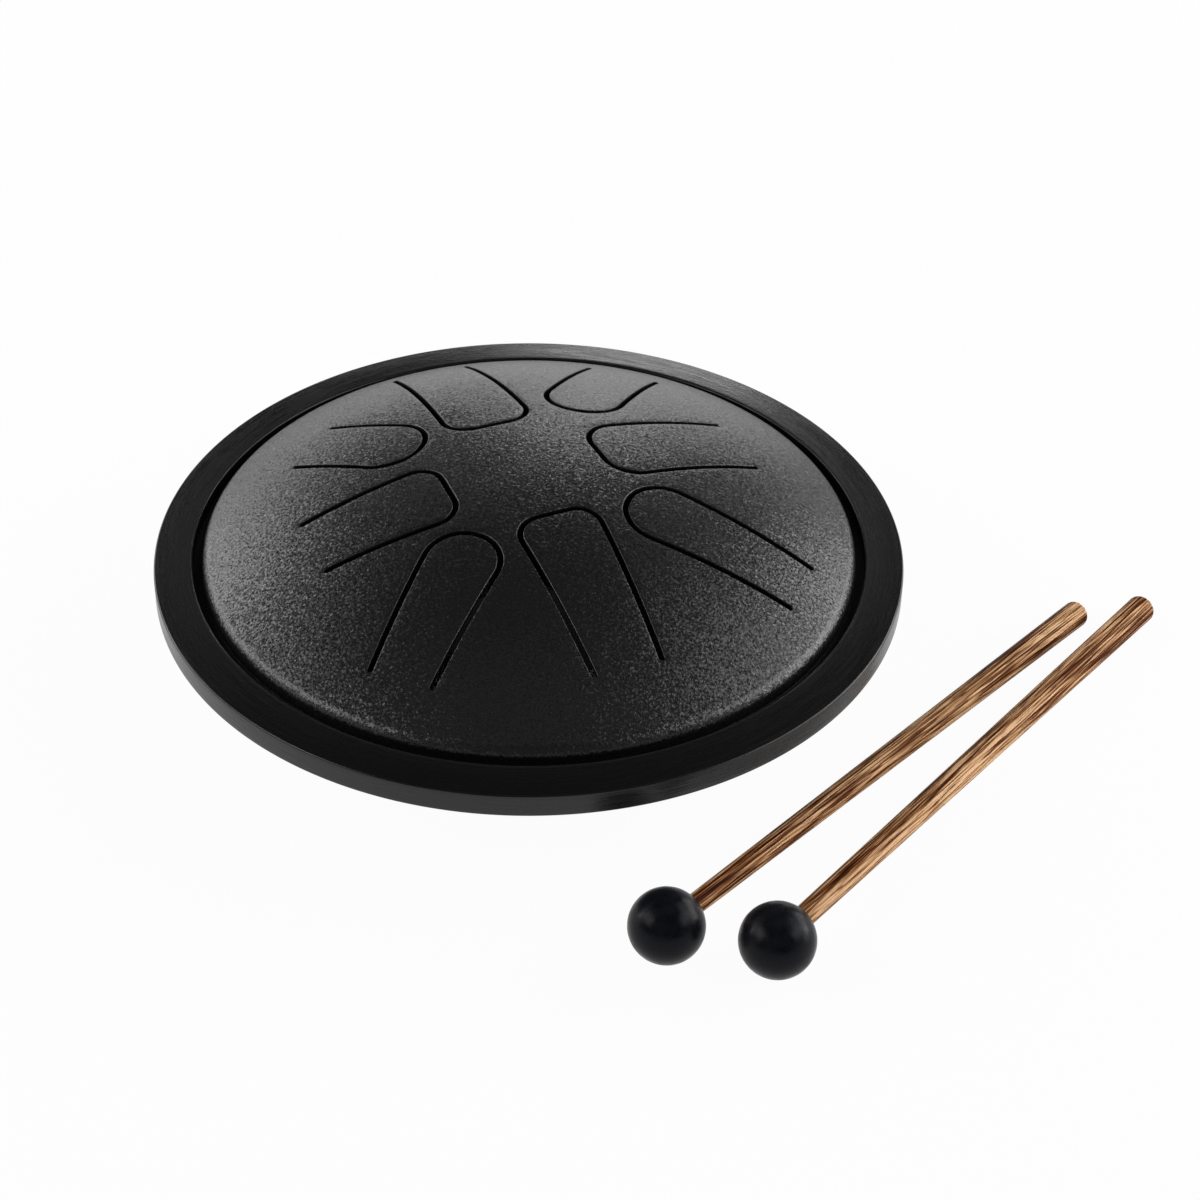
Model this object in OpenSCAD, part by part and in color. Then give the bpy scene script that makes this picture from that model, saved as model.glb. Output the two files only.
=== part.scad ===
// A small steel tongue drum with a rubber rim, lying with its two mallets.
// Millimetres, +Z up. The origin is on the drum's axis, on the surface that it stands on.
// The mallets lie on that surface, in front of the drum (-Y) and to its right (+X).

/* [Shells] */
// Outer diameter of the upright wall between a shell's dome and its flange
wall_d = 156.8; // [140:0.1:180]
// Rise of each shell's dome above its own shoulder
dome_rise = 21.4; // [12:0.1:28]
// Height of the shoulder above the seam between the two flanges
shoulder_h = 5.1; // [4:0.1:9]
// Thickness of the steel sheet
sheet_t = 1; // [0.8:0.05:1.2]
// Outside radius of the bend between dome and wall
shoulder_r = 3.5; // [1.5:0.1:4.5]
// Radius of the bend between wall and flange, on its open side
flange_bend_r = 0.5; // [0.3:0.05:1]

/* [Tongues] */
// Width of the slot that frees each tongue
slot_w = 1.4; // [0.8:0.05:2]
// How far the cut pattern lies off the drum's axis, along X
pattern_shift = -1.5; // [-3:0.1:3]
// Gap between each tongue's root and the shell, which lets the two be separate solids
root_gap = 0.05; // [0.02:0.01:0.2]

/* [Rim ring] */
// Open groove between the shell's wall and the ring's inner edge
groove_w = 2.3; // [1:0.1:3.5]
// Reach of the ring's two lips over the flanges
lip_w = 7.3; // [5:0.1:9]
// Thickness of each lip at the edge of the flanges
lip_t = 2; // [1.5:0.1:2.5]
// How much thicker each lip is at its inner edge
lip_rise = 1; // [0.4:0.1:1.2]
// Thickness of the ring's outer wall
ring_wall_t = 1.9; // [1.5:0.1:3]
// Radius of the ring's two outer corners
ring_corner_r = 0.5; // [0.2:0.05:1]
// Radius of the ring's two inner corners
lip_corner_r = 0.6; // [0.2:0.05:0.9]
// Play between the flanges' edge and the ring
ring_play = 0.1; // [0.05:0.05:0.3]

/* [Sound hole and feet] */
// Diameter of the sound hole in the bottom shell
sound_hole_d = 40; // [25:1:50]
// Diameter of the circle that the feet stand on
foot_circle_d = 84; // [72:1:108]
// Height of the bottom shell's lowest point above the surface
stand_h = 3.5; // [2:0.1:6]
// Diameter of a foot where it meets the shell
foot_d = 14; // [11:0.5:18]
// Diameter of a foot where it meets the surface
foot_tip_d = 12; // [9:0.5:16]
// Radius of the edge round a foot's tip
foot_edge_r = 1; // [0.4:0.1:1.5]
// Diameter of the foot's neck, where it passes through the shell
foot_neck_d = 5.8; // [4.5:0.1:8]
// Play all round the neck in its hole
neck_play = 0.1; // [0.05:0.05:0.3]
// Diameter of the bulb that keeps the foot in its hole
bulb_d = 8.6; // [7:0.1:11]
// Height of the bulb inside the shell
bulb_h = 2.6; // [1.5:0.1:4]
// Play between the foot and both faces of the sheet
foot_play = 0.05; // [0.02:0.01:0.2]

/* [Mallets] */
// Diameter of a mallet's rubber head
head_d = 17.3; // [14:0.1:22]
// Length from the middle of the head to the handle's free end
handle_l = 160; // [120:1:200]
// Diameter of the handle where it leaves the head
neck_d = 4.95; // [4:0.05:6]
// Diameter of the handle at its free end
handle_end_d = 6.85; // [6:0.05:9]
// Radius of the edge round the handle's free end
handle_edge_r = 1.6; // [0.5:0.1:2.5]
// How far the handle reaches past the middle of the head
handle_seat = 3; // [1:0.1:5]
// Play all round the handle inside the head
handle_play = 0.02; // [0.01:0.01:0.05]

/* [Hidden] */
$fn = 180;
dome_fn = 720;
// Straight steps round a tongue's tip corner, and round the end of a slot
corner_steps = 12;
end_steps = 8;

// One row for each tongue: its direction in degrees, then four shares of the wall's radius,
// which are the distance of the tip's slot, the distance of the root, half the width near the
// tip and half the width at the root, and last the tip's corner radius as a share of half its width.
tongue_shares = [
    [245.5, 0.326, 0.836, 0.116, 0.099, 0.97],
    [292.1, 0.229, 0.797, 0.127, 0.105, 0.58],
    [338.5, 0.338, 0.886, 0.122, 0.103, 0.97],
    [25.2, 0.253, 0.733, 0.138, 0.128, 0.68],
    [68.0, 0.398, 0.860, 0.121, 0.116, 0.97],
    [109.9, 0.275, 0.891, 0.135, 0.122, 0.64],
    [154.0, 0.351, 0.726, 0.124, 0.117, 0.97],
    [200.5, 0.241, 0.663, 0.135, 0.121, 0.57]];

// One row for each mallet: the place of its head in X and Y as shares of the ring's outer
// radius, its direction in degrees, and its handle's girth as a share of the diameters above.
mallet_shares = [
    [0.332, -1.169, 47.4, 0.97],
    [0.599, -1.220, 50.9, 1.03]];

wall_r = wall_d / 2;
crown_h = shoulder_h + dome_rise;
seam_z = stand_h + crown_h;
dome_r = (wall_r * wall_r + dome_rise * dome_rise) / (2 * dome_rise);
dome_centre_h = crown_h - dome_r;
bend_x = wall_r - shoulder_r;
bend_h = dome_centre_h + sqrt(pow(dome_r - shoulder_r, 2) - pow(bend_x, 2));
lip_inner_r = wall_r + groove_w;
flange_r = lip_inner_r + lip_w;
ring_r = flange_r + ring_play + ring_wall_t;
ring_half_h = sheet_t + lip_t;
lip_half_h = ring_half_h + lip_rise;
overrun = sheet_t;
foot_r = foot_circle_d / 2;
head_r = head_d / 2;
steel = [0.17, 0.175, 0.18];
tongue_steel = [0.21, 0.215, 0.22];
rubber = [0.07, 0.07, 0.075];
wood = [0.62, 0.42, 0.25];

// Everything under the sheet's outer skin, or under its inner skin with inset = sheet_t.
// X is the distance from the axis, Y is the height above the seam.
module under_skin(inset) {
    tangent_x = bend_x * (dome_r - inset) / (dome_r - shoulder_r);
    intersection() {
        translate([0, dome_centre_h]) circle(dome_r - inset, $fn = dome_fn);
        square([tangent_x, crown_h]);
    }
    intersection() {
        translate([bend_x, bend_h]) circle(shoulder_r - inset);
        translate([bend_x, 0]) square([shoulder_r, crown_h]);
    }
    square([wall_r - inset, bend_h]);
}

module shell_section() {
    bend_reach = sheet_t + flange_bend_r;
    difference() {
        union() {
            under_skin(0);
            square([flange_r, sheet_t]);
            translate([wall_r, sheet_t]) difference() {
                square(flange_bend_r);
                translate([flange_bend_r, flange_bend_r]) circle(flange_bend_r);
            }
        }
        under_skin(sheet_t);
        translate([wall_r - sheet_t, 0]) difference() {
            square(bend_reach);
            translate([bend_reach, bend_reach]) circle(bend_reach);
        }
    }
}

// Half of the steel body, with its seam at height 0 and its dome up
module half_shell() {
    rotate_extrude() shell_section();
}

// Points on a circle round c, from one direction to another
function arc(c, r, from, to, steps) =
    [for (k = [0 : steps]) let (turn = from + (to - from) * k / steps) c + r * [cos(turn), sin(turn)]];

function mirrored(points) = [for (k = [len(points) - 1 : -1 : 0]) [points[k][0], -points[k][1]]];

// The middle of the slot's end beside a tongue's root. The tongue points along +X, out to its root.
function slot_end(row) = [row[2] * wall_r, row[4] * wall_r];

// One tip corner of a tongue, grown by grow, as far as the side that runs on straight to root
function tip_corner(row, grow, root) =
    let (r = row[5] * row[3] * wall_r + grow,
         c = [row[1] * wall_r - grow + r, row[3] * wall_r + grow - r],
         side_turn = atan2(root[1] - c[1], root[0] - c[0]) + acos(r / norm(root - c)))
    arc(c, r, 180, side_turn, corner_steps);

function tongue_half(row) =
    let (root = slot_end(row) - [0, slot_w / 2]) concat(tip_corner(row, -slot_w / 2, root), [root]);

// Half of the opening that a tongue and its slot leave in the shell, with the slot's round end
function opening_half(row) =
    let (end = slot_end(row), root = end + [0, slot_w / 2])
    concat(tip_corner(row, slot_w / 2, root),
           arc(end, slot_w / 2, 90, -acos(2 * root_gap / slot_w), end_steps));

module tongue_prism(row, half) {
    linear_extrude(crown_h + overrun) translate([pattern_shift, 0]) rotate(row[0])
        polygon(concat(half, mirrored(half)));
}

module top_shell() {
    color(steel) translate([0, 0, seam_z]) difference() {
        half_shell();
        for (row = tongue_shares) tongue_prism(row, opening_half(row));
    }
}

module tongue(row) {
    color(tongue_steel) translate([0, 0, seam_z]) intersection() {
        half_shell();
        tongue_prism(row, tongue_half(row));
    }
}

module foot_places() {
    for (i = [0 : 2]) rotate(foot_turn(i)) translate([foot_r, 0]) children();
}

function foot_turn(i) = 90 + 120 * i;

module bottom_shell() {
    color(steel) difference() {
        translate([0, 0, seam_z]) mirror([0, 0, 1]) half_shell();
        cylinder(h = seam_z, d = sound_hole_d);
        foot_places() cylinder(h = seam_z, d = foot_neck_d + 2 * neck_play);
    }
}

module ring_section() {
    corner_x = ring_r - ring_corner_r;
    corner_h = ring_half_h - ring_corner_r;
    lip_x = lip_inner_r + lip_corner_r;
    lip_h = lip_half_h - lip_corner_r;
    difference() {
        union() {
            polygon([[ring_r, -corner_h], [ring_r, corner_h], [corner_x, ring_half_h],
                     [lip_x, lip_half_h], [lip_inner_r, lip_h], [lip_inner_r, -lip_h],
                     [lip_x, -lip_half_h], [corner_x, -ring_half_h]]);
            for (side = [-1, 1]) {
                translate([corner_x, side * corner_h]) circle(ring_corner_r);
                translate([lip_x, side * lip_h]) circle(lip_corner_r);
            }
        }
        translate([0, -sheet_t]) square([flange_r + ring_play, 2 * sheet_t]);
    }
}

module rim_ring() {
    color(rubber) translate([0, 0, seam_z]) rotate_extrude() ring_section();
}

// The ball that the bottom dome is cut from, grown by grow, as it lies from a foot's own axis
module dome_ball(grow) {
    translate([-foot_r, 0, stand_h + dome_r]) sphere(dome_r + grow, $fn = dome_fn);
}

// Outline of a foot's body about its own axis, running on up past the shell
module foot_section(shell_z) {
    tip_x = foot_tip_d / 2 - foot_edge_r;
    top_z = shell_z + foot_d / 2;
    polygon([[0, 0], [tip_x, 0], [tip_x + foot_edge_r, foot_edge_r], [foot_d / 2, shell_z],
             [foot_d / 2, top_z], [0, top_z]]);
    translate([tip_x, foot_edge_r]) circle(foot_edge_r);
}

module foot(i) {
    shell_z = stand_h + dome_r - sqrt(dome_r * dome_r - foot_r * foot_r);
    bulb_z = shell_z + sheet_t;
    color(rubber) rotate(foot_turn(i)) translate([foot_r, 0]) {
        difference() {
            rotate_extrude() foot_section(shell_z);
            dome_ball(foot_play);
        }
        translate([0, 0, foot_edge_r]) cylinder(h = bulb_z + bulb_h / 2 - foot_edge_r, d = foot_neck_d);
        intersection() {
            cylinder(h = bulb_z + bulb_h, d = bulb_d);
            dome_ball(-sheet_t - foot_play);
        }
    }
}

function handle_end_r(row) = row[3] * handle_end_d / 2;

// The tilt at which the head and the handle's free end both touch the surface
function mallet_tilt(row) =
    let (run = handle_l - handle_edge_r, side = handle_end_r(row) - handle_edge_r)
    asin((head_r - handle_edge_r) / norm([run, side])) - atan(side / run);

module mallet_place(row) {
    translate([row[0] * ring_r, row[1] * ring_r, head_r])
        rotate([0, 90 + mallet_tilt(row), row[2]]) children();
}

module mallet_handle(row) {
    neck_r = row[3] * neck_d / 2;
    end_r = handle_end_r(row);
    color(wood) mallet_place(row) rotate_extrude() {
        polygon([[0, -handle_seat], [neck_r, -handle_seat], [neck_r, head_r],
                 [end_r, handle_l - handle_edge_r], [end_r - handle_edge_r, handle_l], [0, handle_l]]);
        translate([end_r - handle_edge_r, handle_l - handle_edge_r]) circle(handle_edge_r);
    }
}

module mallet_head(row) {
    bore_r = row[3] * neck_d / 2 + handle_play;
    color(rubber) mallet_place(row) difference() {
        sphere(head_r);
        translate([0, 0, -handle_seat - handle_play]) cylinder(h = head_d, r = bore_r);
    }
}

top_shell();
for (i = [1 : 8]) tongue(tongue_shares[i - 1]);
bottom_shell();
rim_ring();
for (i = [1 : 3]) foot(i - 1);
for (i = [1 : 2]) {
    mallet_handle(mallet_shares[i - 1]);
    mallet_head(mallet_shares[i - 1]);
}
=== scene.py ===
import math
from collections import namedtuple

import bmesh
import bpy
import numpy as np
from mathutils import Matrix, Vector
from mathutils.geometry import delaunay_2d_cdt


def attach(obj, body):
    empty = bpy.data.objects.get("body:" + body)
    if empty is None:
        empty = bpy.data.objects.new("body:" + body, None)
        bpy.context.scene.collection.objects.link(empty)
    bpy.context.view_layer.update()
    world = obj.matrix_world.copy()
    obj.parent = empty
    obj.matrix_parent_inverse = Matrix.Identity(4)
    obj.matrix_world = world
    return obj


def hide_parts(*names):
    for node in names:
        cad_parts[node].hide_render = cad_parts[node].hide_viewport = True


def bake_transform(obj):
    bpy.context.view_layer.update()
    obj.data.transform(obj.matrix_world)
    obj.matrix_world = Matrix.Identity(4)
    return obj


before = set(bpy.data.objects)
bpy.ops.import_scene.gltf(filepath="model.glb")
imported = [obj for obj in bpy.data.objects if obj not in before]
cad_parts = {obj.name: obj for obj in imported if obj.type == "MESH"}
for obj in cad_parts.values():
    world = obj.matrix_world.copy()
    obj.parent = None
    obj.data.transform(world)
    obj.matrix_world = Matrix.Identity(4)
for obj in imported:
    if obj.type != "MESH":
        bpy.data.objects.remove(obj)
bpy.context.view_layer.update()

# The object's shapes are in millimetres, and its materials and the studio are in metres. z is the height
# above the surface. h is the height above the seam between the shells, or along a mallet from its head's
# middle.
MM = 0.001

# Shells
WALL_R = 78.4
DOME_RISE = 21.4
SHOULDER_H = 5.1
DOME_R = (WALL_R**2 + DOME_RISE**2) / (2 * DOME_RISE)
DOME_CENTRE_H = SHOULDER_H + DOME_RISE - DOME_R
SEAM_Z = 30.0
SHEET_T = 1.0
SHOULDER_R = 3.5
FLANGE_BEND_R = 0.5
FLANGE_R = 88.0
FLANGE_EDGE_R = 0.3
SOUND_HOLE_R = 20.0

# Out to this radius a dome is filled with even triangles, and beyond it are rows that run all round
FILLED_R = 74.5
FIRST_ROW_W = 1.2

# Slots. Each has an upper edge rounded through points at these turns, and a fine bevel under the sheet.
SLOT_W = 1.4
EDGE_R = 0.22
EDGE_TURNS = (0, 22, 45, 67, 90)
UNDER_BEVEL_W = 0.12

# Tongues: the direction of the root in degrees, then the place of the tip, the place of the root and half
# the width at each, all as shares of the wall's radius. The last value gives the radius of the tip's
# corners as a share of half the tip's width.
Tongue = namedtuple("Tongue", "turn tip root half_tip half_root corner")
TONGUES = {
    "tongue_1": Tongue(245.5, 0.326, 0.836, 0.116, 0.099, 0.97),
    "tongue_2": Tongue(292.1, 0.229, 0.797, 0.127, 0.105, 0.58),
    "tongue_3": Tongue(338.5, 0.338, 0.886, 0.122, 0.103, 0.97),
    "tongue_4": Tongue(25.2, 0.253, 0.733, 0.138, 0.128, 0.68),
    "tongue_5": Tongue(68.0, 0.398, 0.860, 0.121, 0.116, 0.97),
    "tongue_6": Tongue(109.9, 0.275, 0.891, 0.135, 0.122, 0.64),
    "tongue_7": Tongue(154.0, 0.351, 0.726, 0.124, 0.117, 0.97),
    "tongue_8": Tongue(200.5, 0.241, 0.663, 0.135, 0.121, 0.57),
}
PATTERN_SHIFT = -1.5

# Rubber feet. A foot tapers to its tip, a neck goes through its hole, and a cap holds it inside the shell.
FOOT_TURNS = {"foot_1": 90, "foot_2": 210, "foot_3": 330}
FOOT_CIRCLE_R = 42.0
FOOT_HOLE_R = 3.0
FOOT_R = 7.0
FOOT_TIP_R = 6.0
FOOT_EDGE_R = 1.0
FOOT_TAPER_Z = 1.2
# Rows of points up a foot's side, as shares of the way from the start of its taper to the shell
FOOT_SIDE_SHARES = (0.25, 0.5, 0.75, 1)
FOOT_NECK_R = 2.9
# Where the neck has a row of points within the sheet, as a share of the sheet's thickness
FOOT_NECK_ROW_SHARE = 0.4
FOOT_CAP_R = 4.3
FOOT_CAP_H = 2.6
# Gaps between a foot and the sheet, outside the shell and inside it
FOOT_GAP = 0.02
FOOT_CAP_GAP = 0.06

# Rubber ring
RING_R = 90.0
RING_WALL_H = 1.3
RING_HALF_H = 3.0
RING_CORNER_R = 0.5
RING_INNER_R = 80.7
RING_LIP_HALF_H = 4.0
RING_LIP_CORNER_R = 0.6
RING_SLOT_R = 88.1
RING_CROWN = 0.12

# Mallets
HEAD_R = 8.65
HANDLE_L = 160.0
HANDLE_EDGE_R = 1.6
HANDLE_CHAMFER = 0.2
HANDLE_END_R = 6.85 / 2
HANDLE_SEAT = 3.0
NECK_R = 4.95 / 2
NECK_ROW_DEPTH = 0.5
BORE_PLAY = 0.02
MOUTH_W = 0.35
# Where the bore's mouth is rounded: distance out from the bore, and depth under the mouth's edge
MOUTH_ROUNDING = ((0, 0.4), (0.06, 0.16), (0.17, 0.05))
# Head's place, handle's direction in degrees, share of the usual thickness, and place of its wood in the
# grain in metres
Mallet = namedtuple("Mallet", "x y turn girth wood_place")
MALLETS = {
    "mallet_1": Mallet(0.332 * RING_R, -1.169 * RING_R, 47.4, 0.97, (0.0, 0.0, 0.0)),
    "mallet_2": Mallet(0.599 * RING_R, -1.220 * RING_R, 50.9, 1.03, (0.31, 0.17, 0.45)),
}

# Points in one turn
SHELL_AROUND = 360
RING_AROUND = 540
HOLE_AROUND = 120
FOOT_AROUND = 96
HANDLE_AROUND = 96
HEAD_AROUND = 160

# Distance between the points of a filled skin. The inner skin's points lie further apart.
TOP_SPACING = 1.5
BOTTOM_SPACING = 2.5
INNER_SPACING_SHARE = 2
# Least distance from a filled skin's inner point to an edge, as a share of the spacing
EDGE_CLEARANCE = 0.6
# Settings of the triangulation: triangles within the edges only, and how near two points count as one
TRIANGLES_INSIDE = 1
SAME_POINT = 1e-7

# Camera
CAMERA_PLACE = (0, -0.57483, 0.46655)
CAMERA_TURN_DEG = (51.9676, -0.8142, -1.0761)
CAMERA_LENS = 89.53
CAMERA_SENSOR_W = 36
CAMERA_CLIP = (0.01, 20)

# Soft boxes: azimuth and elevation in degrees, width and height in metres, and brightness.
# Azimuth 0 is +X, to the right, and 90 is +Y, at the back.
LAMP_DISTANCE = 1.0
LAMPS = [
    ("right_low_box", 5, 8, (0.5, 0.2), 5.5),
    ("right_box", 25, 20, (0.8, 0.4), 4.9),
    ("right_top_box", 16, 48, (0.4, 0.3), 2.2),
    ("right_front_box", 345, 35, (0.6, 0.4), 3.5),
    ("left_low_box", 170, 8, (0.5, 0.2), 1.0),
    ("left_box", 152, 20, (0.8, 0.4), 4.3),
    ("left_back_box", 122, 12, (0.3, 0.2), 2.0),
    ("left_top_box", 145, 40, (0.45, 0.3), 0.4),
    ("left_front_box", 195, 35, (0.6, 0.4), 4.0),
    ("back_strip", 90, 5, (0.9, 0.1), 1.6),
    ("back_right_strip", 75, 12, (0.4, 0.1), 1.3),
    ("back_small_box", 84, 21, (0.2, 0.12), 7.0),
    ("back_box", 90, 38, (0.8, 0.2), 0.35),
    ("top_box", 270, 82, (0.6, 0.4), 0.22),
    ("front_box", 270, 35, (1.2, 0.4), 0.15),
]

# Floor. A painted shadow, a dark disc on the floor under the drum, fades out between the two radii.
FLOOR_HALF_W = 1.5
FLOOR_PAINTED_SHADOW_R = 0.03
FLOOR_SHADOW_FADE_R = 0.055
# Colour of the painted shadow on the floor under the drum
FLOOR_PAINTED_SHADOW = (0.02, 0.02, 0.02)
FLOOR_PALE = (0.85, 0.85, 0.85)
FLOOR_GLOW = 0.96

# Backdrop and soft fill. In reflections the backdrop fades upwards, between two sines of the elevation.
BACKDROP_COLOUR = (0.8, 0.8, 0.8, 1)
BACKDROP_FULL = 1.0
BACKDROP_FAINT = 0.03
BACKDROP_FADE_START = 0.02
BACKDROP_FADE_END = 0.14
FILL_LIGHT = 0.05


class Piece:
    """Points in millimetres and faces, gathered row by row, and made into one Blender object"""

    def __init__(self):
        self.points = []
        self.faces = []

    def row(self, points):
        """Adds points and returns their numbers"""
        start = len(self.points)
        self.points.extend(tuple(p) for p in points)
        return list(range(start, len(self.points)))

    def wrap(self, rows):
        """Joins each closed row to the next one"""
        for a, b in zip(rows, rows[1:]):
            for i in range(len(a)):
                j = (i + 1) % len(a)
                self.faces.append((a[i], a[j], b[j], b[i]))

    def cap(self, row, centre):
        """Closes a row with triangles that meet at a centre"""
        (tip,) = self.row([centre])
        for i in range(len(row)):
            self.faces.append((row[i], row[(i + 1) % len(row)], tip))

    def fill(self, outer, holes, spacing, lift):
        """Fills the plan between an outer row and hole rows with even triangles, lifted to a height"""
        loops = [outer] + holes
        outlines = [np.array([self.points[i][:2] for i in loop]) for loop in loops]
        edge = np.concatenate(outlines)
        inside = hex_grid(outlines[0].min(0), outlines[0].max(0), spacing)
        inside = inside[in_plan(inside, outlines)]
        inside = inside[nearest(inside, edge) > EDGE_CLEARANCE * spacing]
        own = [i for loop in loops for i in loop]
        own += self.row((x, y, lift(x, y)) for x, y in inside)
        places = np.concatenate([edge, inside])
        flat = [Vector(p) for p in places]
        ties = closed_edges(loops)
        _, _, faces, first, _, _ = delaunay_2d_cdt(flat, ties, [], TRIANGLES_INSIDE, SAME_POINT)
        faces = np.array([[first[v][0] for v in face] for face in faces])
        faces = faces[in_plan(places[faces].mean(1), outlines)]
        self.faces += [tuple(own[v] for v in face) for face in faces]

    def make(self, name, material, sharp_deg=50, place=Matrix()):
        """Makes a smooth object, apart from edges that turn by more than an angle"""
        mesh = bpy.data.meshes.new(name)
        mesh.from_pydata([tuple(MM * c for c in p) for p in self.points], [], self.faces)
        mesh.transform(place)
        shape = bmesh.new()
        shape.from_mesh(mesh)
        bmesh.ops.recalc_face_normals(shape, faces=shape.faces)
        shape.to_mesh(mesh)
        shape.free()
        mesh.shade_smooth()
        mesh.set_sharp_from_angle(angle=math.radians(sharp_deg))
        mesh.materials.append(material)
        made = bpy.data.objects.new(name, mesh)
        bpy.context.scene.collection.objects.link(made)
        return made


def hex_grid(low, high, spacing):
    """Points of a triangular pattern between two corners"""
    rows = np.arange(low[1], high[1], spacing * math.sqrt(0.75))
    columns = np.arange(low[0], high[0], spacing)
    x, y = np.meshgrid(columns, rows)
    x[1::2] += spacing / 2
    return np.column_stack([x.ravel(), y.ravel()])


def in_polygon(points, polygon):
    """Whether each point is inside a polygon"""
    x, y = points[:, 0], points[:, 1]
    inside = np.zeros(len(points), bool)
    ends = np.roll(polygon, -1, 0)
    for (ax, ay), (bx, by) in zip(polygon, ends):
        if ay != by:
            inside ^= ((ay > y) != (by > y)) & (x < (bx - ax) * (y - ay) / (by - ay) + ax)
    return inside


def in_plan(points, outlines):
    """Whether each point is inside the first outline and outside all the others"""
    keep = in_polygon(points, outlines[0])
    for hole in outlines[1:]:
        keep &= ~in_polygon(points, hole)
    return keep


def closed_edges(loops):
    """Pairs of point numbers round each loop, where the loops are numbered one after the other"""
    pairs = []
    start = 0
    for loop in loops:
        pairs += [(start + i, start + (i + 1) % len(loop)) for i in range(len(loop))]
        start += len(loop)
    return pairs


def nearest(points, others, batch=200):
    """Distance from each point to the nearest of the others"""
    found = np.full(len(points), np.inf)
    for start in range(0, len(others), batch):
        gaps = points[:, None] - others[None, start:start + batch]
        found = np.minimum(found, np.sqrt((gaps**2).sum(2)).min(1))
    return found


def line(a, b, steps):
    """Points from a to b, without b"""
    return [(a[0] + (b[0] - a[0]) * k / steps, a[1] + (b[1] - a[1]) * k / steps) for k in range(steps)]


def arc(centre, r, start_deg, end_deg, steps):
    """Points round a centre, both ends included"""
    turns = [math.radians(start_deg + (end_deg - start_deg) * k / steps) for k in range(steps + 1)]
    return [(centre[0] + r * math.cos(t), centre[1] + r * math.sin(t)) for t in turns]


def circle(r, z, count):
    """Points of a level circle round the Z axis"""
    turns = [2 * math.pi * k / count for k in range(count)]
    return [(r * math.cos(t), r * math.sin(t), z) for t in turns]


def dome_h(x, y, depth=0.0):
    """Height above the seam of the surface that lies depth under a dome's outer skin"""
    return DOME_CENTRE_H + math.sqrt((DOME_R - depth) ** 2 - math.hypot(x, y) ** 2)


def foot_place(turn):
    """Where a foot's axis stands in the plan"""
    return FOOT_CIRCLE_R * math.cos(math.radians(turn)), FOOT_CIRCLE_R * math.sin(math.radians(turn))


def tongue_side(tongue, grow):
    """Points from the middle of a tongue's tip to its root. The tongue points along +X, out to its root."""
    corner_r = tongue.corner * tongue.half_tip * WALL_R
    centre = (tongue.tip * WALL_R + corner_r, tongue.half_tip * WALL_R - corner_r)
    r = corner_r + grow
    end = (tongue.root * WALL_R, tongue.half_root * WALL_R + grow)
    reach = math.hypot(end[0] - centre[0], end[1] - centre[1])
    turn = math.degrees(math.atan2(end[1] - centre[1], end[0] - centre[0]) + math.acos(r / reach))
    bend = arc(centre, r, 180, turn, steps=16)
    tip = line((tongue.tip * WALL_R - grow, 0), bend[0], steps=6)
    return tip + bend[:-1] + line(bend[-1], end, steps=40)


def root_line(tongue, grow):
    """Points on the upper half of a tongue's root, from the slot to the axis"""
    start = (tongue.root * WALL_R, tongue.half_root * WALL_R + grow)
    return line(start, (start[0], 0), steps=8) + [(start[0], 0)]


def with_mirror(points):
    """A closed outline from the half above the X axis, whose first and last points are on the axis"""
    return points + [(x, -y) for x, y in reversed(points[1:-1])]


def opening_outline(tongue, out):
    """The edge of the opening round a tongue, out beyond the slot's own edge"""
    grow = SLOT_W / 2 + out
    slot_end = (tongue.root * WALL_R, tongue.half_root * WALL_R)
    end = arc(slot_end, grow, 90, -90, steps=12)
    return with_mirror(tongue_side(tongue, grow) + end[:-1] + root_line(tongue, -grow))


def tongue_outline(tongue, within):
    """The edge of a tongue, within the slot's own edge"""
    grow = -SLOT_W / 2 - within
    return with_mirror(tongue_side(tongue, grow) + root_line(tongue, grow))


def circle_outline(centre, r):
    """Gives a round hole's edge for any distance out beyond it"""
    def outline(out):
        return [(centre[0] + x, centre[1] + y) for x, y, _ in circle(r + out, 0, HOLE_AROUND)]
    return outline


def placed(points, tongue):
    """Points turned to a tongue's direction and moved to the pattern's centre"""
    turn = math.radians(tongue.turn)
    c, s = math.cos(turn), math.sin(turn)
    return [(c * x - s * y + PATTERN_SHIFT, s * x + c * y) for x, y in points]


def cut_edge():
    """How far a cut's rounded edge lies back, and how deep, from the outer skin to the inner one"""
    turns = [math.radians(a) for a in EDGE_TURNS]
    upper = [(EDGE_R * (1 - math.sin(t)), EDGE_R * (1 - math.cos(t))) for t in turns]
    return upper + [(0, SHEET_T - UNDER_BEVEL_W), (UNDER_BEVEL_W, SHEET_T)]


def cut_rows(piece, outline, side):
    """The rows of points down one cut through the sheet"""
    return [
        piece.row((x, y, SEAM_Z + side * dome_h(x, y, depth)) for x, y in outline(back))
        for back, depth in cut_edge()]


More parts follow.
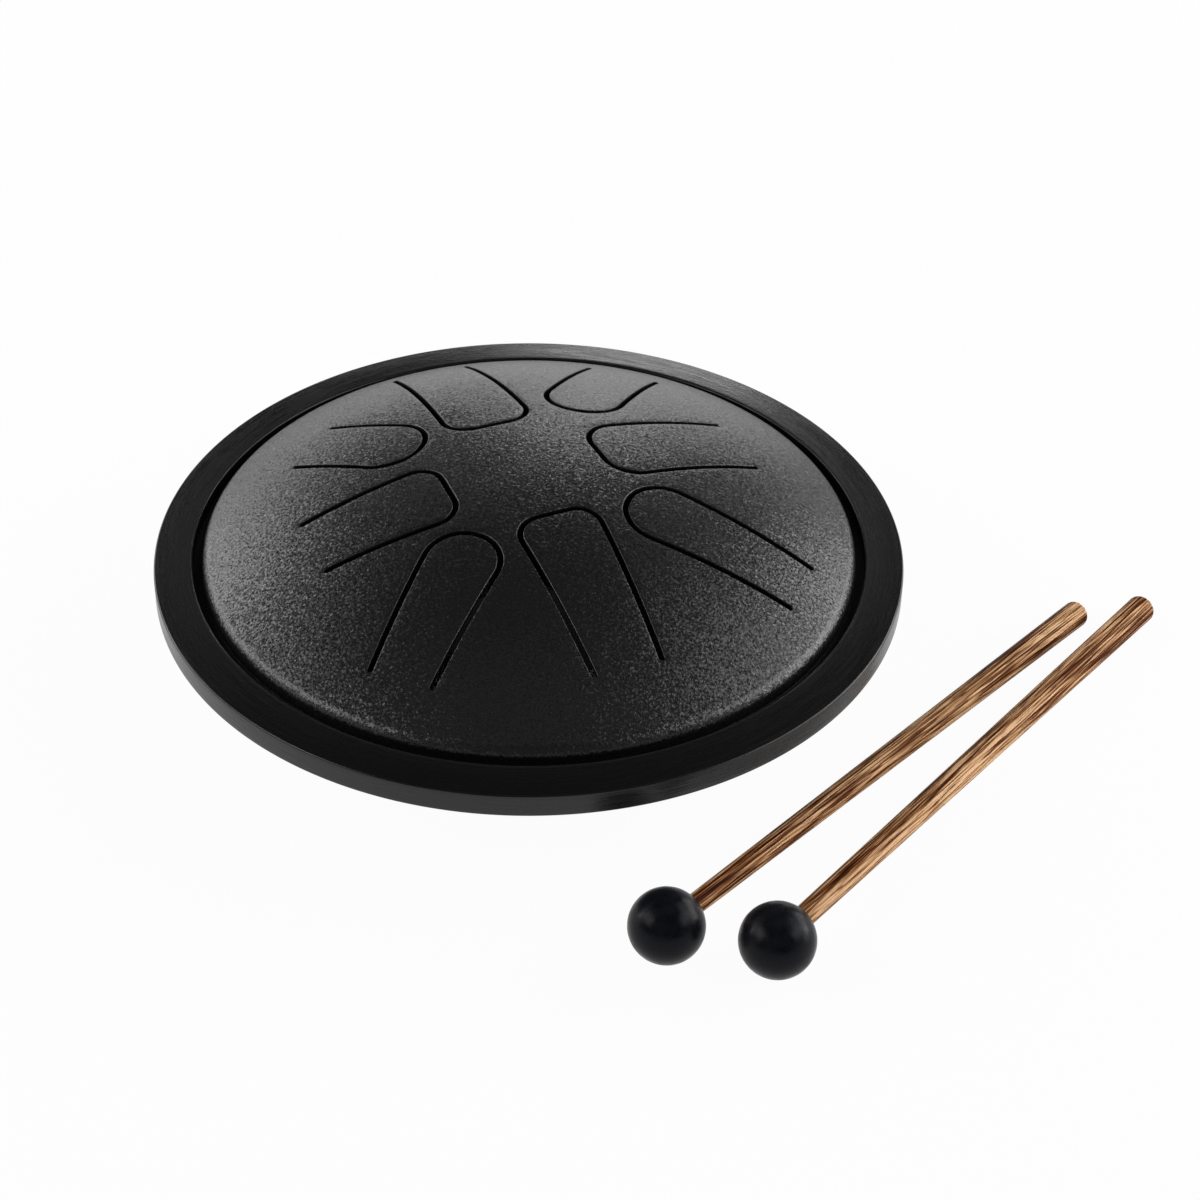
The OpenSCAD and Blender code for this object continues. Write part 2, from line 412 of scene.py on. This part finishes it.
def shell_profile():
    """Radius and height above the seam, from the dome's outer skin round the flange to the inner skin"""
    shoulder_x = WALL_R - SHOULDER_R
    shoulder_h = DOME_CENTRE_H + math.sqrt((DOME_R - SHOULDER_R) ** 2 - shoulder_x**2)
    shoulder = (shoulder_x, shoulder_h)
    start = math.degrees(math.acos(shoulder_x / (DOME_R - SHOULDER_R)))
    outer_bend = (WALL_R + FLANGE_BEND_R, SHEET_T + FLANGE_BEND_R)
    flange_edge = (FLANGE_R - FLANGE_EDGE_R, SHEET_T - FLANGE_EDGE_R)
    inner_bend_r = SHEET_T + FLANGE_BEND_R
    inner_bend = (WALL_R - SHEET_T + inner_bend_r, inner_bend_r)
    outer = [(r, dome_h(r, 0)) for r in (FILLED_R, FILLED_R + FIRST_ROW_W)]
    outer += arc(shoulder, SHOULDER_R, start, 0, steps=14)
    outer += arc(outer_bend, FLANGE_BEND_R, 180, 270, steps=5)
    outer += arc(flange_edge, FLANGE_EDGE_R, 90, 0, steps=4)
    inner = [(FLANGE_R, 0)]
    inner += arc(inner_bend, inner_bend_r, 270, 180, steps=6)
    inner += arc(shoulder, SHOULDER_R - SHEET_T, 0, start, steps=8)
    inner += [(FILLED_R, dome_h(FILLED_R, 0, SHEET_T))]
    return outer + inner


def fill_skins(piece, outer_row, inner_row, cuts, side, spacing):
    """Fills a sheet's outer and inner skin round the cuts in it"""
    outer_holes = [cut[0] for cut in cuts]
    inner_holes = [cut[-1] for cut in cuts]
    inner_spacing = INNER_SPACING_SHARE * spacing
    piece.fill(outer_row, outer_holes, spacing, lambda x, y: SEAM_Z + side * dome_h(x, y))
    piece.fill(inner_row, inner_holes, inner_spacing, lambda x, y: SEAM_Z + side * dome_h(x, y, SHEET_T))


def make_shell(name, node, material, outlines, side, spacing):
    """One pressed shell, with its dome up where side is 1 and down where it is -1"""
    piece = Piece()
    rows = [piece.row(circle(r, SEAM_Z + side * h, SHELL_AROUND)) for r, h in shell_profile()]
    piece.wrap(rows)
    cuts = [cut_rows(piece, outline, side) for outline in outlines]
    for cut in cuts:
        piece.wrap(cut)
    fill_skins(piece, rows[0], rows[-1], cuts, side, spacing)
    shell = piece.make(name, material)
    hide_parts(node)
    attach(shell, "drum_body")


def make_top_shell(material):
    outlines = [
        lambda out, tongue=tongue: placed(opening_outline(tongue, out), tongue)
        for tongue in TONGUES.values()]
    make_shell("shell_top", "top_shell", material, outlines, side=1, spacing=TOP_SPACING)


def make_bottom_shell(material):
    outlines = [circle_outline((0, 0), SOUND_HOLE_R)]
    outlines += [circle_outline(foot_place(turn), FOOT_HOLE_R) for turn in FOOT_TURNS.values()]
    make_shell("shell_bottom", "bottom_shell", material, outlines, side=-1, spacing=BOTTOM_SPACING)


def make_tongue(name, tongue, material):
    """A tongue's sheet, which meets the shell's sheet at its root"""
    piece = Piece()
    rows = cut_rows(piece, lambda back: placed(tongue_outline(tongue, back), tongue), side=1)
    piece.wrap(rows)
    fill_skins(piece, rows[0], rows[-1], [], side=1, spacing=TOP_SPACING)
    made = piece.make(name + "_sheet", material)
    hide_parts(name)
    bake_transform(made)


def ring_profile():
    """The upper half of the ring's section, from its outer wall over the lip into the flanges' slot"""
    wall = [(RING_R, 0), (RING_R, RING_WALL_H)]
    corner_centre = (RING_R - RING_CORNER_R, RING_HALF_H - RING_CORNER_R)
    corner = arc(corner_centre, RING_CORNER_R, 0, 84, steps=7)
    lip_corner_centre = (RING_INNER_R + RING_LIP_CORNER_R, RING_LIP_HALF_H - RING_LIP_CORNER_R)
    lip_corner = arc(lip_corner_centre, RING_LIP_CORNER_R, 90, 180, steps=7)
    steps = 12
    lip = line(corner[-1], (lip_corner_centre[0], RING_LIP_HALF_H), steps)
    lip = [(x, h + RING_CROWN * math.sin(math.pi * k / steps)) for k, (x, h) in enumerate(lip)]
    slot = [(RING_INNER_R, SHEET_T), (RING_SLOT_R, SHEET_T), (RING_SLOT_R, 0)]
    return wall + corner + lip[1:] + lip_corner + slot


def make_ring(material):
    upper = ring_profile()
    section = upper + [(r, -h) for r, h in reversed(upper[1:-1])]
    piece = Piece()
    rows = [piece.row(circle(r, SEAM_Z + h, RING_AROUND)) for r, h in section]
    piece.wrap(rows + rows[:1])
    ring = piece.make("rubber_ring", material, sharp_deg=40)
    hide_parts("rim_ring")
    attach(ring, "drum_body")


def make_foot(name, turn, material):
    """A rubber foot, whose top follows the dome that it is pressed against and whose cap holds it inside"""
    centre_x, centre_y = foot_place(turn)
    cap_top_z = SEAM_Z - dome_h(centre_x, centre_y, SHEET_T) + FOOT_CAP_H
    piece = Piece()

    def level_row(r, z):
        return piece.row((centre_x + x, centre_y + y, z) for x, y, _ in circle(r, 0, FOOT_AROUND))

    def dome_row(r, depth, rise=0.0, share=1.0):
        """A row that follows the dome, or lies at a share of the way up to it from the start of the taper"""
        row = []
        for x, y, _ in circle(r, 0, FOOT_AROUND):
            z = SEAM_Z - dome_h(centre_x + x, centre_y + y, depth) + rise
            row.append((centre_x + x, centre_y + y, FOOT_TAPER_Z + (z - FOOT_TAPER_Z) * share))
        return piece.row(row)

    edge = arc((FOOT_TIP_R - FOOT_EDGE_R, FOOT_EDGE_R), FOOT_EDGE_R, 270, 350, steps=8)
    cap_edge = arc((FOOT_CAP_R - FOOT_EDGE_R, cap_top_z - FOOT_EDGE_R), FOOT_EDGE_R, 0, 90, steps=5)
    rows = [level_row(r, z) for r, z in edge]
    for share in FOOT_SIDE_SHARES:
        rows.append(dome_row(FOOT_TIP_R + (FOOT_R - FOOT_TIP_R) * share, 0, -FOOT_GAP, share))
    rows.append(dome_row(FOOT_NECK_R, 0, -FOOT_GAP))
    rows.append(dome_row(FOOT_NECK_R, FOOT_NECK_ROW_SHARE * SHEET_T))
    rows.append(dome_row(FOOT_NECK_R, SHEET_T))
    rows.append(dome_row(FOOT_CAP_R, SHEET_T, FOOT_CAP_GAP))
    rows += [level_row(r, z) for r, z in cap_edge]
    piece.wrap(rows)
    piece.cap(rows[0], (centre_x, centre_y, 0))
    piece.cap(rows[-1], (centre_x, centre_y, cap_top_z))
    foot = piece.make(name + "_rubber", material, sharp_deg=40)
    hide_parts(name)
    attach(foot, "drum_body")


def mallet_place(mallet):
    """The place of a mallet whose head is at the origin and handle along +Z, resting on the surface"""
    run = HANDLE_L - HANDLE_EDGE_R
    side = mallet.girth * HANDLE_END_R - HANDLE_EDGE_R
    tilt = math.asin((HEAD_R - HANDLE_EDGE_R) / math.hypot(run, side)) - math.atan(side / run)
    place = Matrix.Translation(MM * Vector((mallet.x, mallet.y, HEAD_R)))
    turn = Matrix.Rotation(math.radians(mallet.turn), 4, "Z")
    return place @ turn @ Matrix.Rotation(math.radians(90) + tilt, 4, "Y")


def make_handle(name, place, girth, material):
    """A tapered handle with a rounded free end and a straight neck that goes into the head"""
    neck_r, end_r = girth * NECK_R, girth * HANDLE_END_R
    taper_end_h = HANDLE_L - HANDLE_EDGE_R
    profile = [(neck_r - HANDLE_CHAMFER, -HANDLE_SEAT), (neck_r, -HANDLE_SEAT + HANDLE_CHAMFER)]
    profile += [(neck_r, HEAD_R - NECK_ROW_DEPTH)]
    profile += line((neck_r, HEAD_R), (end_r, taper_end_h), steps=60) + [(end_r, taper_end_h)]
    profile += arc((end_r - HANDLE_EDGE_R, taper_end_h), HANDLE_EDGE_R, 3, 80, steps=10)
    piece = Piece()
    rows = [piece.row(circle(r, h, HANDLE_AROUND)) for r, h in profile]
    piece.wrap(rows)
    piece.cap(rows[0], (0, 0, -HANDLE_SEAT))
    piece.cap(rows[-1], (0, 0, HANDLE_L))
    handle = piece.make(name + "_wood", material, sharp_deg=40, place=place)
    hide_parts(name + "_handle")
    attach(handle, name)


def make_head(name, place, girth, material):
    """A rubber ball with a bore for the handle, whose mouth is rounded"""
    bore_r = girth * NECK_R + BORE_PLAY
    bore_end_h = -HANDLE_SEAT - BORE_PLAY
    mouth_r = bore_r + MOUTH_W
    mouth_h = math.sqrt(HEAD_R**2 - mouth_r**2)
    mouth_turn = math.degrees(math.asin(mouth_r / HEAD_R))
    profile = [(bore_r, bore_end_h), (bore_r, 0)]
    profile += [(bore_r + out, mouth_h - depth) for out, depth in MOUTH_ROUNDING]
    profile += arc((0, 0), HEAD_R, 90 - mouth_turn, -89, steps=109)
    piece = Piece()
    rows = [piece.row(circle(r, h, HEAD_AROUND)) for r, h in profile]
    piece.wrap(rows)
    piece.cap(rows[0], (0, 0, bore_end_h))
    piece.cap(rows[-1], (0, 0, -HEAD_R))
    head = piece.make(name + "_ball", material, sharp_deg=60, place=place)
    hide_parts(name + "_head")
    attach(head, name)


class Nodes:
    """A node tree, with short calls for the nodes that are used here. All but add return an output."""

    def __init__(self, tree):
        self.tree = tree

    def set(self, socket, value):
        """Links a node's output to a socket, or sets the socket's own value"""
        if isinstance(value, bpy.types.NodeSocket):
            self.tree.links.new(value, socket)
        else:
            socket.default_value = value

    def add(self, kind, inputs=None, **settings):
        node = self.tree.nodes.new(kind)
        for key, value in settings.items():
            setattr(node, key, value)
        for key, value in (inputs or {}).items():
            self.set(node.inputs[key], value)
        return node

    def place(self):
        return self.add("ShaderNodeTexCoord").outputs["Object"]

    def math(self, operation, *values):
        return self.add("ShaderNodeMath", dict(enumerate(values)), operation=operation).outputs[0]

    def vector(self, operation, *values, output=0):
        node = self.add("ShaderNodeVectorMath", dict(enumerate(values)), operation=operation)
        return node.outputs[output]

    def noise(self, place, scale, detail, roughness=0.5):
        inputs = {"Vector": place, "Scale": scale, "Detail": detail, "Roughness": roughness}
        return self.add("ShaderNodeTexNoise", inputs).outputs["Fac"]

    def spread(self, value, low, high, to_low=0.0, to_high=1.0, smooth=False):
        """A value between low and high, moved to the same share of the way between two others"""
        inputs = {"Value": value, "From Min": low, "From Max": high, "To Min": to_low, "To Max": to_high}
        kind = "SMOOTHSTEP" if smooth else "LINEAR"
        return self.add("ShaderNodeMapRange", inputs, interpolation_type=kind).outputs["Result"]

    def ramp(self, value, *stops):
        """Colours between stops, each of them a position and a colour, in rising order"""
        node = self.add("ShaderNodeValToRGB", {"Fac": value})
        elements = node.color_ramp.elements
        for element, (position, _) in zip(elements, (stops[0], stops[-1])):
            element.position = position
        for position, _ in stops[1:-1]:
            elements.new(position)
        for element, (_, colour) in zip(elements, stops):
            element.color = (*colour, 1)
        return node.outputs["Color"]

    def bump(self, height, distance, strength=1.0, **others):
        inputs = {"Height": height, "Distance": distance, "Strength": strength, **others}
        return self.add("ShaderNodeBump", inputs).outputs["Normal"]


def new_material(name):
    """A material, its nodes, and a call that sets its Principled shader's inputs"""
    material = bpy.data.materials.new(name)
    material.use_nodes = True
    nodes = Nodes(material.node_tree)
    shader = material.node_tree.nodes["Principled BSDF"]

    def finish(colour, roughness, specular, normal=None):
        nodes.set(shader.inputs["Base Color"], colour)
        nodes.set(shader.inputs["Roughness"], roughness)
        nodes.set(shader.inputs["Specular IOR Level"], specular)
        if normal is not None:
            nodes.set(shader.inputs["Normal"], normal)
        return material

    return nodes, finish


def from_axis(nodes, place):
    """Splits a place into the level vector from the drum's axis, its length, and the height"""
    parts = nodes.add("ShaderNodeSeparateXYZ", {"Vector": place}).outputs
    level = nodes.add("ShaderNodeCombineXYZ", {"X": parts["X"], "Y": parts["Y"]}).outputs[0]
    return level, nodes.vector("LENGTH", level, output="Value"), parts["Z"]


def coat_material():
    """Textured powder coat of tiny tilted facets, some duller than others, and fully dull past the wall"""
    nodes, finish = new_material("powder_coat")
    place = nodes.place()
    facet_tilt = 0.85
    fade_w = 0.2
    outside_rough, dull_rough, glossy_rough = 1.0, 0.38, 0.27

    relief = nodes.add("ShaderNodeTexNoise", {
        "Vector": place, "Scale": 1500.0, "Detail": 2.0, "Roughness": 0.6}).outputs
    bent = nodes.vector("ADD", relief["Color"], (-0.5,) * 3)
    surface = nodes.add("ShaderNodeNewGeometry").outputs["Normal"]
    facets = nodes.vector("MULTIPLY_ADD", bent, (facet_tilt,) * 3, surface)
    normal = nodes.bump(relief["Fac"], distance=0.0001, Normal=nodes.vector("NORMALIZE", facets))

    clumps = nodes.noise(place, scale=1700.0, detail=3.0, roughness=0.6)
    grain = nodes.spread(clumps, 0.4, 0.6, smooth=True)
    _, r, _ = from_axis(nodes, place)
    within_wall = nodes.spread(r, MM * (WALL_R + fade_w), MM * WALL_R)
    grain_rough = nodes.spread(grain, 0.0, 1.0, to_low=dull_rough, to_high=glossy_rough)
    roughness = nodes.spread(within_wall, 0.0, 1.0, to_low=outside_rough, to_high=grain_rough)
    colour = nodes.ramp(grain, (0.0, (0.003, 0.003, 0.0034)), (1.0, (0.009, 0.0091, 0.0099)))
    return finish(colour, roughness, specular=0.6, normal=normal)


def ring_material():
    """Satin rubber with fine streaks that run round the ring"""
    nodes, finish = new_material("ring_rubber")
    place = nodes.place()
    along_scale, across_scale = 6.0, 1400.0
    fine_share = 0.35

    level, r, z = from_axis(nodes, place)
    turn = nodes.vector("NORMALIZE", level)
    along = nodes.add("ShaderNodeVectorMath", {0: turn, "Scale": along_scale}, operation="SCALE").outputs[0]
    up = nodes.add("ShaderNodeCombineXYZ", {"Z": nodes.math("MULTIPLY", z, across_scale)}).outputs[0]
    streaks = nodes.add("ShaderNodeTexNoise", {
        "Vector": nodes.vector("ADD", along, up), "W": nodes.math("MULTIPLY", r, across_scale),
        "Scale": 1.0, "Detail": 3.0, "Roughness": 0.6}, noise_dimensions="4D").outputs["Fac"]
    fine = nodes.noise(place, scale=2200.0, detail=2.0)
    normal = nodes.bump(nodes.math("MULTIPLY_ADD", fine, fine_share, streaks), distance=0.00006)

    colour = nodes.ramp(streaks, (0.35, (0.0025, 0.0025, 0.0028)), (0.7, (0.0065, 0.0066, 0.007)))
    roughness = nodes.spread(streaks, 0.35, 0.68, to_low=0.34, to_high=0.2)
    return finish(colour, roughness, specular=0.4, normal=normal)


def rubber_material(name, low, high):
    """Matt moulded rubber with a faint cloudiness"""
    nodes, finish = new_material(name)
    place = nodes.place()
    cloud = nodes.noise(place, scale=330.0, detail=5.0, roughness=0.6)
    fine = nodes.noise(place, scale=3000.0, detail=2.0)
    normal = nodes.bump(fine, distance=0.00004, strength=0.4)
    colour = nodes.ramp(cloud, (0.3, low), (0.75, high))
    roughness = nodes.spread(cloud, 0.35, 0.65, to_low=0.2, to_high=0.4)
    return finish(colour, roughness, specular=0.1, normal=normal)


def wood_material(name, place, wood_place):
    """Tan wood with chocolate bands and fine dark lines that run along the handle"""
    nodes, finish = new_material(name)
    along_handle = nodes.add("ShaderNodeMapping", {
        "Vector": nodes.place(), "Location": place @ Vector(wood_place), "Rotation": place.to_euler()},
        vector_type="TEXTURE").outputs[0]

    def stretched(across, along, detail):
        """Noise with its own scale across the handle and along it"""
        scaled = nodes.vector("MULTIPLY", along_handle, (across, across, along))
        return nodes.noise(scaled, scale=1.0, detail=detail, roughness=0.6)

    bands = stretched(across=600.0, along=15.0, detail=3.0)
    lines = stretched(across=2600.0, along=60.0, detail=2.0)
    pores = stretched(across=3600.0, along=90.0, detail=1.0)
    line_share = 1.1
    tone = nodes.spread(nodes.math("MULTIPLY_ADD", lines, line_share, bands), 0.82, 1.24)
    between_pores = nodes.spread(pores, 0.64, 0.57, to_low=0.3)
    colour = nodes.ramp(
        nodes.math("MULTIPLY", tone, between_pores),
        (0.03, (0.035, 0.006, 0.001)),
        (0.24, (0.10, 0.026, 0.005)),
        (0.37, (0.19, 0.068, 0.02)),
        (0.5, (0.31, 0.14, 0.058)),
        (0.63, (0.49, 0.26, 0.12)),
        (0.76, (0.70, 0.41, 0.21)),
        (0.97, (0.92, 0.58, 0.33)))
    normal = nodes.bump(lines, distance=0.00008, strength=0.6)
    return finish(colour, roughness=0.5, specular=0.04, normal=normal)


def seen_in_mirrors(nodes, rays):
    """1 for a ray that was reflected, or came through a clear body"""
    return nodes.math("MAXIMUM", rays["Is Glossy Ray"], rays["Is Transmission Ray"])


def floor_material():
    """Pale floor, white to the camera and in reflections, that takes shadows and has a painted shadow, a
    dark disc, under the drum
    """
    nodes, finish = new_material("floor")
    r = nodes.vector("LENGTH", nodes.place(), output="Value")
    # Painted shadow: outside is 0 under the drum, where the floor's colour is dark, and 1 past the fade
    outside = nodes.spread(r, FLOOR_PAINTED_SHADOW_R, FLOOR_SHADOW_FADE_R)
    colour = nodes.ramp(outside, (0.0, FLOOR_PAINTED_SHADOW), (1.0, FLOOR_PALE))
    material = finish(colour, roughness=0.9, specular=0.1)
    rays = nodes.add("ShaderNodeLightPath").outputs
    seen = nodes.math("MAXIMUM", rays["Is Camera Ray"], seen_in_mirrors(nodes, rays))
    # The floor doesn't glow in the painted shadow under the drum
    share = nodes.math("MULTIPLY", nodes.math("MULTIPLY", seen, FLOOR_GLOW), outside)
    glow = nodes.add("ShaderNodeEmission", {"Color": (1, 1, 1, 1), "Strength": 1.0}).outputs[0]
    shader = nodes.tree.nodes["Principled BSDF"].outputs[0]
    mixed = nodes.add("ShaderNodeMixShader", {0: share, 1: shader, 2: glow}).outputs[0]
    nodes.set(nodes.tree.nodes["Material Output"].inputs["Surface"], mixed)
    return material


def make_floor():
    half = FLOOR_HALF_W
    mesh = bpy.data.meshes.new("floor")
    corners = [(-half, -half, 0), (half, -half, 0), (half, half, 0), (-half, half, 0)]
    mesh.from_pydata(corners, [], [(0, 1, 2, 3)])
    mesh.materials.append(floor_material())
    floor = bpy.data.objects.new("floor", mesh)
    bpy.context.scene.collection.objects.link(floor)


def make_world():
    """A pale backdrop for the camera, which fades upwards in reflections, and a soft fill for all else"""
    world = bpy.data.worlds.new("studio")
    world.use_nodes = True
    bpy.context.scene.world = world
    nodes = Nodes(world.node_tree)
    fill = world.node_tree.nodes["Background"]
    fill.inputs["Color"].default_value = (1, 1, 1, 1)
    fill.inputs["Strength"].default_value = FILL_LIGHT
    rays = nodes.add("ShaderNodeLightPath").outputs
    direction = nodes.add("ShaderNodeTexCoord").outputs["Generated"]
    height = nodes.add("ShaderNodeSeparateXYZ", {0: direction}).outputs["Z"]
    brightness = nodes.spread(
        height, BACKDROP_FADE_END, BACKDROP_FADE_START, BACKDROP_FAINT, BACKDROP_FULL, smooth=True)
    shade = fill.outputs[0]
    views = [(seen_in_mirrors(nodes, rays), brightness), (rays["Is Camera Ray"], BACKDROP_FULL)]
    for seen, strength in views:
        backdrop = nodes.add("ShaderNodeBackground", {"Color": BACKDROP_COLOUR, "Strength": strength})
        shade = nodes.add("ShaderNodeMixShader", {0: seen, 1: shade, 2: backdrop.outputs[0]}).outputs[0]
    nodes.set(world.node_tree.nodes["World Output"].inputs["Surface"], shade)


def make_lamp(name, azimuth, elevation, size, radiance):
    """A soft box that faces the drum"""
    a, e = math.radians(azimuth), math.radians(elevation)
    light = bpy.data.lights.new(name, "AREA")
    light.shape = "RECTANGLE"
    light.size, light.size_y = size
    light.energy = radiance * math.pi * size[0] * size[1]
    lamp = bpy.data.objects.new(name, light)
    bpy.context.scene.collection.objects.link(lamp)
    direction = Vector((math.cos(a) * math.cos(e), math.sin(a) * math.cos(e), math.sin(e)))
    lamp.location = LAMP_DISTANCE * direction
    lamp.rotation_euler = direction.to_track_quat("Z", "Y").to_euler()


def make_camera():
    camera = bpy.data.objects.new("camera", bpy.data.cameras.new("camera"))
    bpy.context.scene.collection.objects.link(camera)
    camera.location = CAMERA_PLACE
    camera.rotation_euler = [math.radians(a) for a in CAMERA_TURN_DEG]
    camera.data.lens = CAMERA_LENS
    camera.data.sensor_width = CAMERA_SENSOR_W
    camera.data.clip_start, camera.data.clip_end = CAMERA_CLIP
    bpy.context.scene.camera = camera


def make_drum():
    coat = coat_material()
    make_top_shell(coat)
    for name, tongue in TONGUES.items():
        make_tongue(name, tongue, coat)
    make_bottom_shell(coat)
    make_ring(ring_material())
    foot_rubber = rubber_material("foot_rubber", (0.008, 0.008, 0.008), (0.014, 0.014, 0.014))
    for name, turn in FOOT_TURNS.items():
        make_foot(name, turn, foot_rubber)


def make_mallets():
    head_rubber = rubber_material("head_rubber", (0.0056, 0.006, 0.0083), (0.008, 0.0086, 0.0115))
    for name, mallet in MALLETS.items():
        place = mallet_place(mallet)
        make_handle(name, place, mallet.girth, wood_material(name + "_wood", place, mallet.wood_place))
        make_head(name, place, mallet.girth, head_rubber)


def make_studio():
    make_camera()
    make_floor()
    make_world()
    for lamp in LAMPS:
        make_lamp(*lamp)


make_drum()
make_mallets()
make_studio()
bpy.context.scene.view_settings.view_transform = "Standard"
